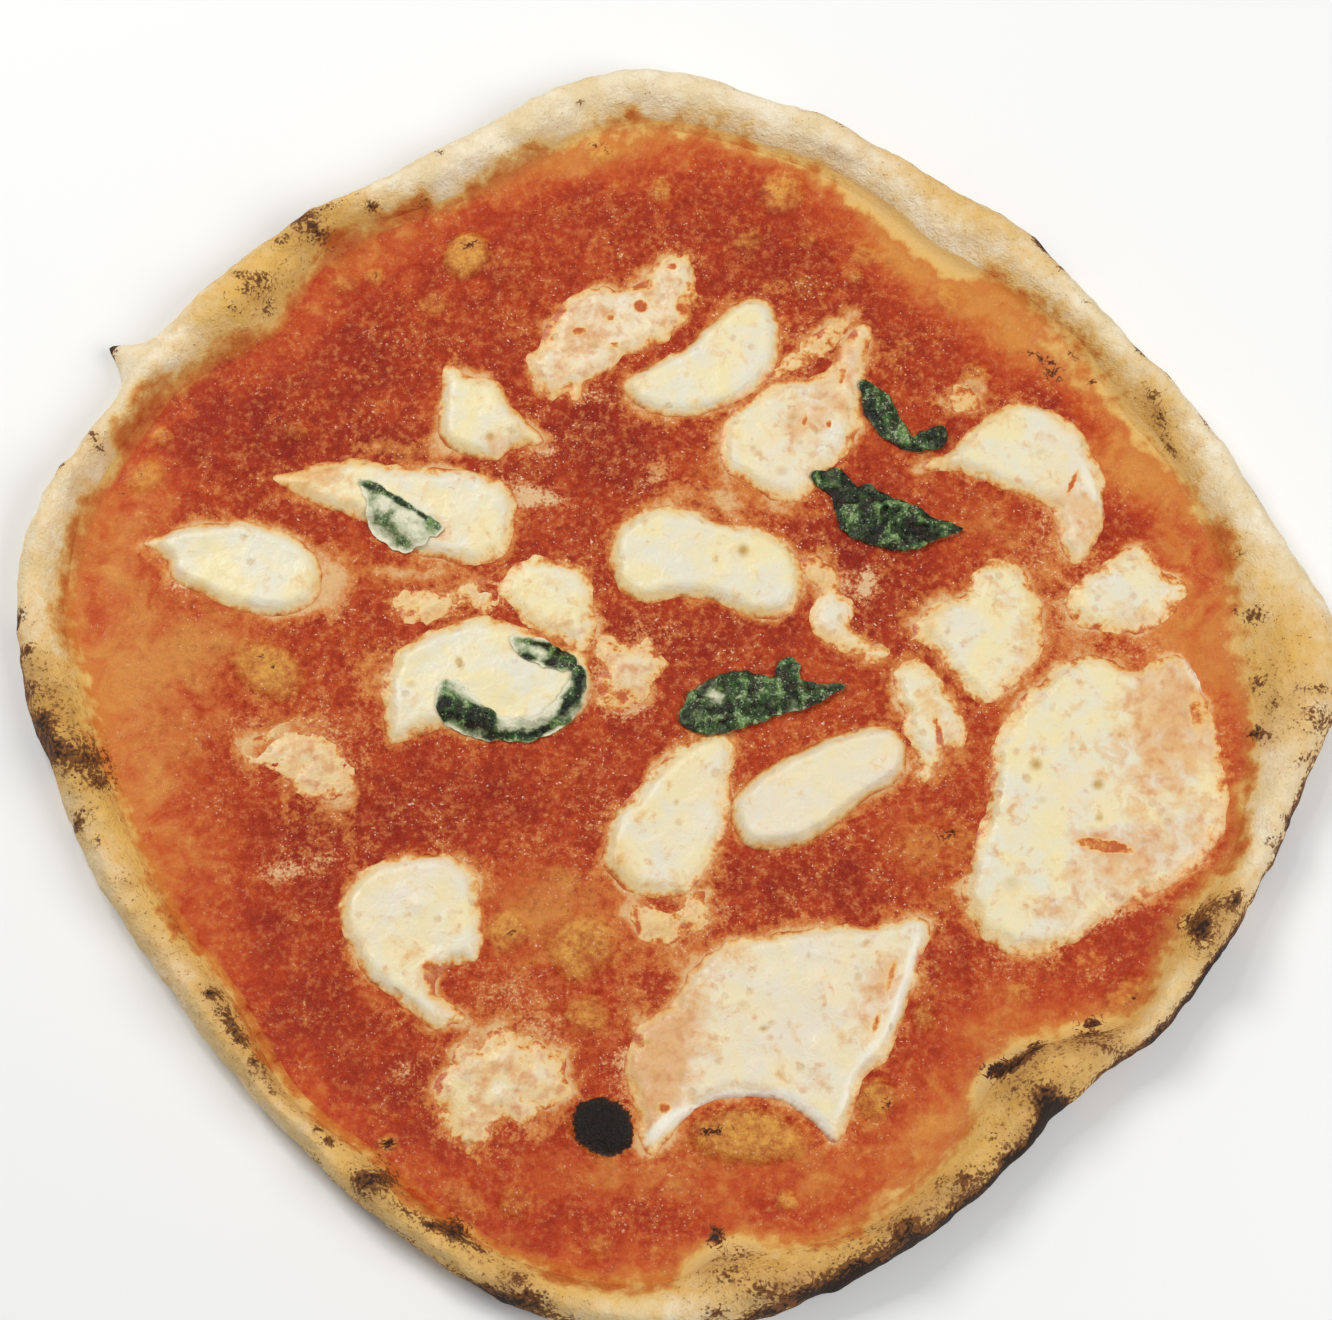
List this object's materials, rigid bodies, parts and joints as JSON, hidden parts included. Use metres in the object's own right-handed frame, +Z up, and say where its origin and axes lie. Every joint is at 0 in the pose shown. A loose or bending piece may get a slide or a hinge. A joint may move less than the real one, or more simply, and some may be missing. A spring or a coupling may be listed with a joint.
{
  "type": "pizza",
  "caption": "Round hand-stretched pizza with a puffed charred rim, thin tomato sauce, melted mozzarella pieces and wilted basil leaves, lying flat.",
  "frame": {"origin": "on the surface that the pizza lies on, under the middle of its bounding box", "axes": "+Z up, out of the topped side; +X towards the puffed corner of the rim on the right of the picture, +Y away from the viewer"},
  "size_m": [0.3325, 0.3286, 0.016],
  "materials": {
    "dough": "matt, floury, with brown and black blisters",
    "tomato_sauce": "moist, finely grained",
    "mozzarella": "moist, soft sheen",
    "basil": "wilted, oily"
  },
  "bodies": {
    "root": {"basil_centre": "basil", "basil_large": "basil", "basil_left": "basil", "basil_puddle": "basil", "basil_puddle_tip": "basil", "basil_upper": "basil", "dough": "dough", "mozzarella_bottom_sheet": "mozzarella", "mozzarella_centre_crumb": "mozzarella", "mozzarella_centre_low_slice": "mozzarella", "mozzarella_centre_right_slice": "mozzarella", "mozzarella_centre_slice": "mozzarella", "mozzarella_centre_tail": "mozzarella", "mozzarella_crescent": "mozzarella", "mozzarella_forked_slice": "mozzarella", "mozzarella_half_moon": "mozzarella", "mozzarella_kite_slice": "mozzarella", "mozzarella_leaf_puddle": "mozzarella", "mozzarella_leaf_slice": "mozzarella", "mozzarella_left_melt": "mozzarella", "mozzarella_left_slice": "mozzarella", "mozzarella_low_melt": "mozzarella", "mozzarella_lower_left_melt": "mozzarella", "mozzarella_lower_left_slice": "mozzarella", "mozzarella_middle_melt": "mozzarella", "mozzarella_ragged_slice": "mozzarella", "mozzarella_right_drop": "mozzarella", "mozzarella_right_lobe": "mozzarella", "mozzarella_right_sheet": "mozzarella", "mozzarella_small_melt": "mozzarella", "mozzarella_star_slice": "mozzarella", "mozzarella_strand": "mozzarella", "mozzarella_upper_arm": "mozzarella", "mozzarella_upper_puddle": "mozzarella", "tomato_sauce": "tomato_sauce"}
  },
  "joints": []
}
